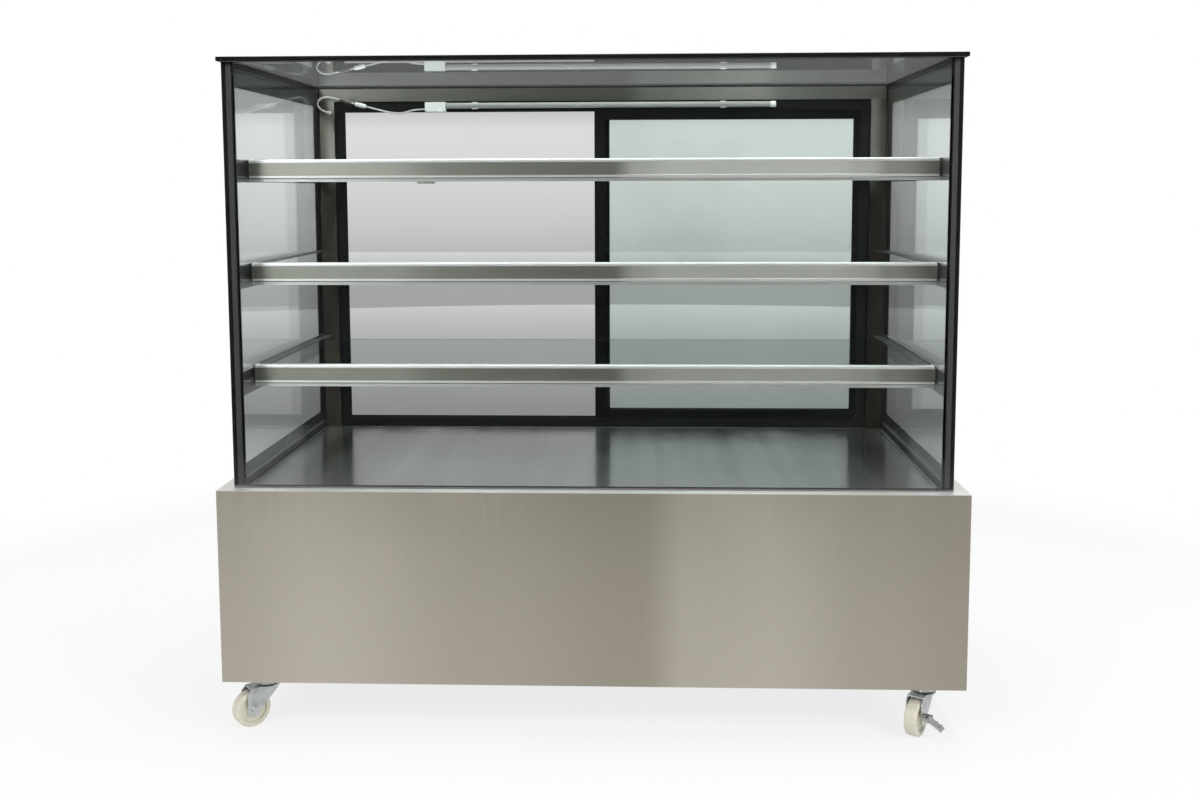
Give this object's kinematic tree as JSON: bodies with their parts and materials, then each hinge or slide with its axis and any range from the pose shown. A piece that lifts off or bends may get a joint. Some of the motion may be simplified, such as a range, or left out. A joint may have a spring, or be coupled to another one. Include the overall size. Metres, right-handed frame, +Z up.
{
  "type": "refrigerated pastry display case",
  "caption": "Free-standing glass-topped chilled display case with a brushed steel base on casters, glass shelves, a lamp and sliding rear doors.",
  "frame": {"origin": "on the floor under the middle of the case's footprint", "axes": "+X to the customer's right, +Y to the rear (the server's side), +Z up"},
  "size_m": [1.5, 0.7402, 1.366],
  "materials": {
    "brushed_stainless": "fine vertical brushing",
    "bright_stainless": "polished satin",
    "galvanised": "zinc sheet",
    "zinc_plate": "bright zinc plate",
    "aluminium": "brushed anodised",
    "fin_aluminium": "thin fins",
    "copper": "drawn tube",
    "black_plastic": "black satin",
    "white_plastic": "white",
    "cream_nylon": "cream nylon",
    "lamp_lens": "opal lens",
    "grey_lead": "grey-white sheath",
    "seal_black": "black sealant",
    "clear_glass": "clear float glass",
    "foam": "rigid foam",
    "black_paint": "black paint"
  },
  "bodies": {
    "case": {"base_floor_pan": "galvanised", "caster_plates": "zinc_plate", "compressor": "black_paint", "condensate_tray": "galvanised", "condenser_coil": "fin_aluminium", "condenser_fan_shroud": "galvanised", "control_box": "black_plastic", "deck_pan": "brushed_stainless", "deck_surround": "brushed_stainless", "door_track_frame": "black_plastic", "evaporator_coil": "fin_aluminium", "evaporator_fan_frame": "black_plastic", "evaporator_well": "galvanised", "foam_insulation": "foam", "front_glass": "clear_glass", "front_panel": "brushed_stainless", "glass_seals": "seal_black", "lamp_connector": "white_plastic", "lamp_lead_left": "grey_lead", "lamp_lead_right": "grey_lead", "led_holders": "white_plastic", "led_tube": "lamp_lens", "left_glass_panes": "clear_glass", "left_side_panel": "brushed_stainless", "rear_left_post": "brushed_stainless", "rear_louvre_panel": "galvanised", "rear_right_post": "brushed_stainless", "rear_top_beam": "brushed_stainless", "refrigerant_pipes": "copper", "right_glass_panes": "clear_glass", "right_side_panel": "brushed_stainless", "shelf_1_front_rail": "bright_stainless", "shelf_1_glass": "clear_glass", "shelf_1_side_bearers": "black_paint", "shelf_2_front_rail": "bright_stainless", "shelf_2_glass": "clear_glass", "shelf_2_side_bearers": "black_paint", "shelf_3_front_rail": "bright_stainless", "shelf_3_glass": "clear_glass", "shelf_3_side_bearers": "black_paint", "side_glass_spacers": "aluminium", "top_glass": "clear_glass"},
    "left_door": {"left_door_frame": "black_plastic", "left_door_glass": "clear_glass"},
    "right_door": {"right_door_frame": "black_plastic", "right_door_glass": "clear_glass"},
    "condenser_fan": {"condenser_fan_blades": "black_plastic"},
    "evaporator_fan": {"evaporator_fan_blades": "black_plastic"},
    "thermostat": {"thermostat_knob": "black_plastic"},
    "light_switch": {"light_switch_rocker": "black_plastic"},
    "power_switch": {"power_switch_rocker": "black_plastic"},
    "front_left_swivel": {"front_left_fork": "zinc_plate"},
    "front_left_roller": {"front_left_wheel": "cream_nylon"},
    "front_right_swivel": {"front_right_fork": "zinc_plate"},
    "front_right_roller": {"front_right_wheel": "cream_nylon"},
    "rear_left_swivel": {"rear_left_fork": "zinc_plate"},
    "rear_left_roller": {"rear_left_wheel": "cream_nylon"},
    "rear_right_swivel": {"rear_right_fork": "zinc_plate"},
    "rear_right_roller": {"rear_right_wheel": "cream_nylon"},
    "brake": {"front_right_brake_lever": "zinc_plate"}
  },
  "joints": [
    {"name": "left_door_slide", "type": "slide", "parent": "case", "child": "left_door", "axis": [1, 0, 0], "range_m": [-0.6425, 0]},
    {"name": "right_door_slide", "type": "slide", "parent": "case", "child": "right_door", "axis": [1, 0, 0], "range_m": [-0.6425, 0]},
    {"name": "front_left_swivel_turn", "type": "hinge", "parent": "case", "child": "front_left_swivel", "pos_m": [-0.68, -0.3, 0.09], "axis": [0, 0, 1], "continuous": true},
    {"name": "front_left_wheel_roll", "type": "hinge", "parent": "front_left_swivel", "child": "front_left_roller", "pos_m": [-0.70675, -0.32409, 0.0375], "axis": [0.6691, -0.7431, 0], "continuous": true},
    {"name": "front_right_swivel_turn", "type": "hinge", "parent": "case", "child": "front_right_swivel", "pos_m": [0.68, -0.3, 0.09], "axis": [0, 0, 1], "continuous": true},
    {"name": "front_right_wheel_roll", "type": "hinge", "parent": "front_right_swivel", "child": "front_right_roller", "pos_m": [0.66039, -0.33019, 0.0375], "axis": [0.8387, -0.5446, 0], "continuous": true},
    {"name": "rear_left_swivel_turn", "type": "hinge", "parent": "case", "child": "rear_left_swivel", "pos_m": [-0.68, 0.3, 0.09], "axis": [0, 0, 1], "continuous": true},
    {"name": "rear_left_wheel_roll", "type": "hinge", "parent": "rear_left_swivel", "child": "rear_left_roller", "pos_m": [-0.64882, 0.282, 0.0375], "axis": [0.5, 0.866, 0], "continuous": true},
    {"name": "rear_right_swivel_turn", "type": "hinge", "parent": "case", "child": "rear_right_swivel", "pos_m": [0.68, 0.3, 0.09], "axis": [0, 0, 1], "continuous": true},
    {"name": "rear_right_wheel_roll", "type": "hinge", "parent": "rear_right_swivel", "child": "rear_right_roller", "pos_m": [0.64617, 0.28769, 0.0375], "axis": [0.342, -0.9397, 0], "continuous": true},
    {"name": "front_right_brake_lift", "type": "hinge", "parent": "front_right_swivel", "child": "brake", "pos_m": [0.68262, -0.34463, 0.0395], "axis": [-0.5446, -0.8387, 0], "range_deg": [0, 40]},
    {"name": "condenser_fan_spin", "type": "hinge", "parent": "case", "child": "condenser_fan", "pos_m": [0.325, 0.25, 0.2047], "axis": [0, 1, 0], "continuous": true},
    {"name": "evaporator_fan_spin", "type": "hinge", "parent": "case", "child": "evaporator_fan", "pos_m": [-0.13, -0.03, 0.4168], "axis": [1, 0, 0], "continuous": true},
    {"name": "thermostat_turn", "type": "hinge", "parent": "case", "child": "thermostat", "pos_m": [-0.64, 0.3517, 0.24], "axis": [0, -1, 0], "range_deg": [0, 300]},
    {"name": "light_switch_tip", "type": "hinge", "parent": "case", "child": "light_switch", "pos_m": [-0.58, 0.3467, 0.24], "axis": [1, 0, 0], "range_deg": [-14, 0]},
    {"name": "power_switch_tip", "type": "hinge", "parent": "case", "child": "power_switch", "pos_m": [-0.54, 0.3467, 0.24], "axis": [1, 0, 0], "range_deg": [-14, 0]}
  ]
}
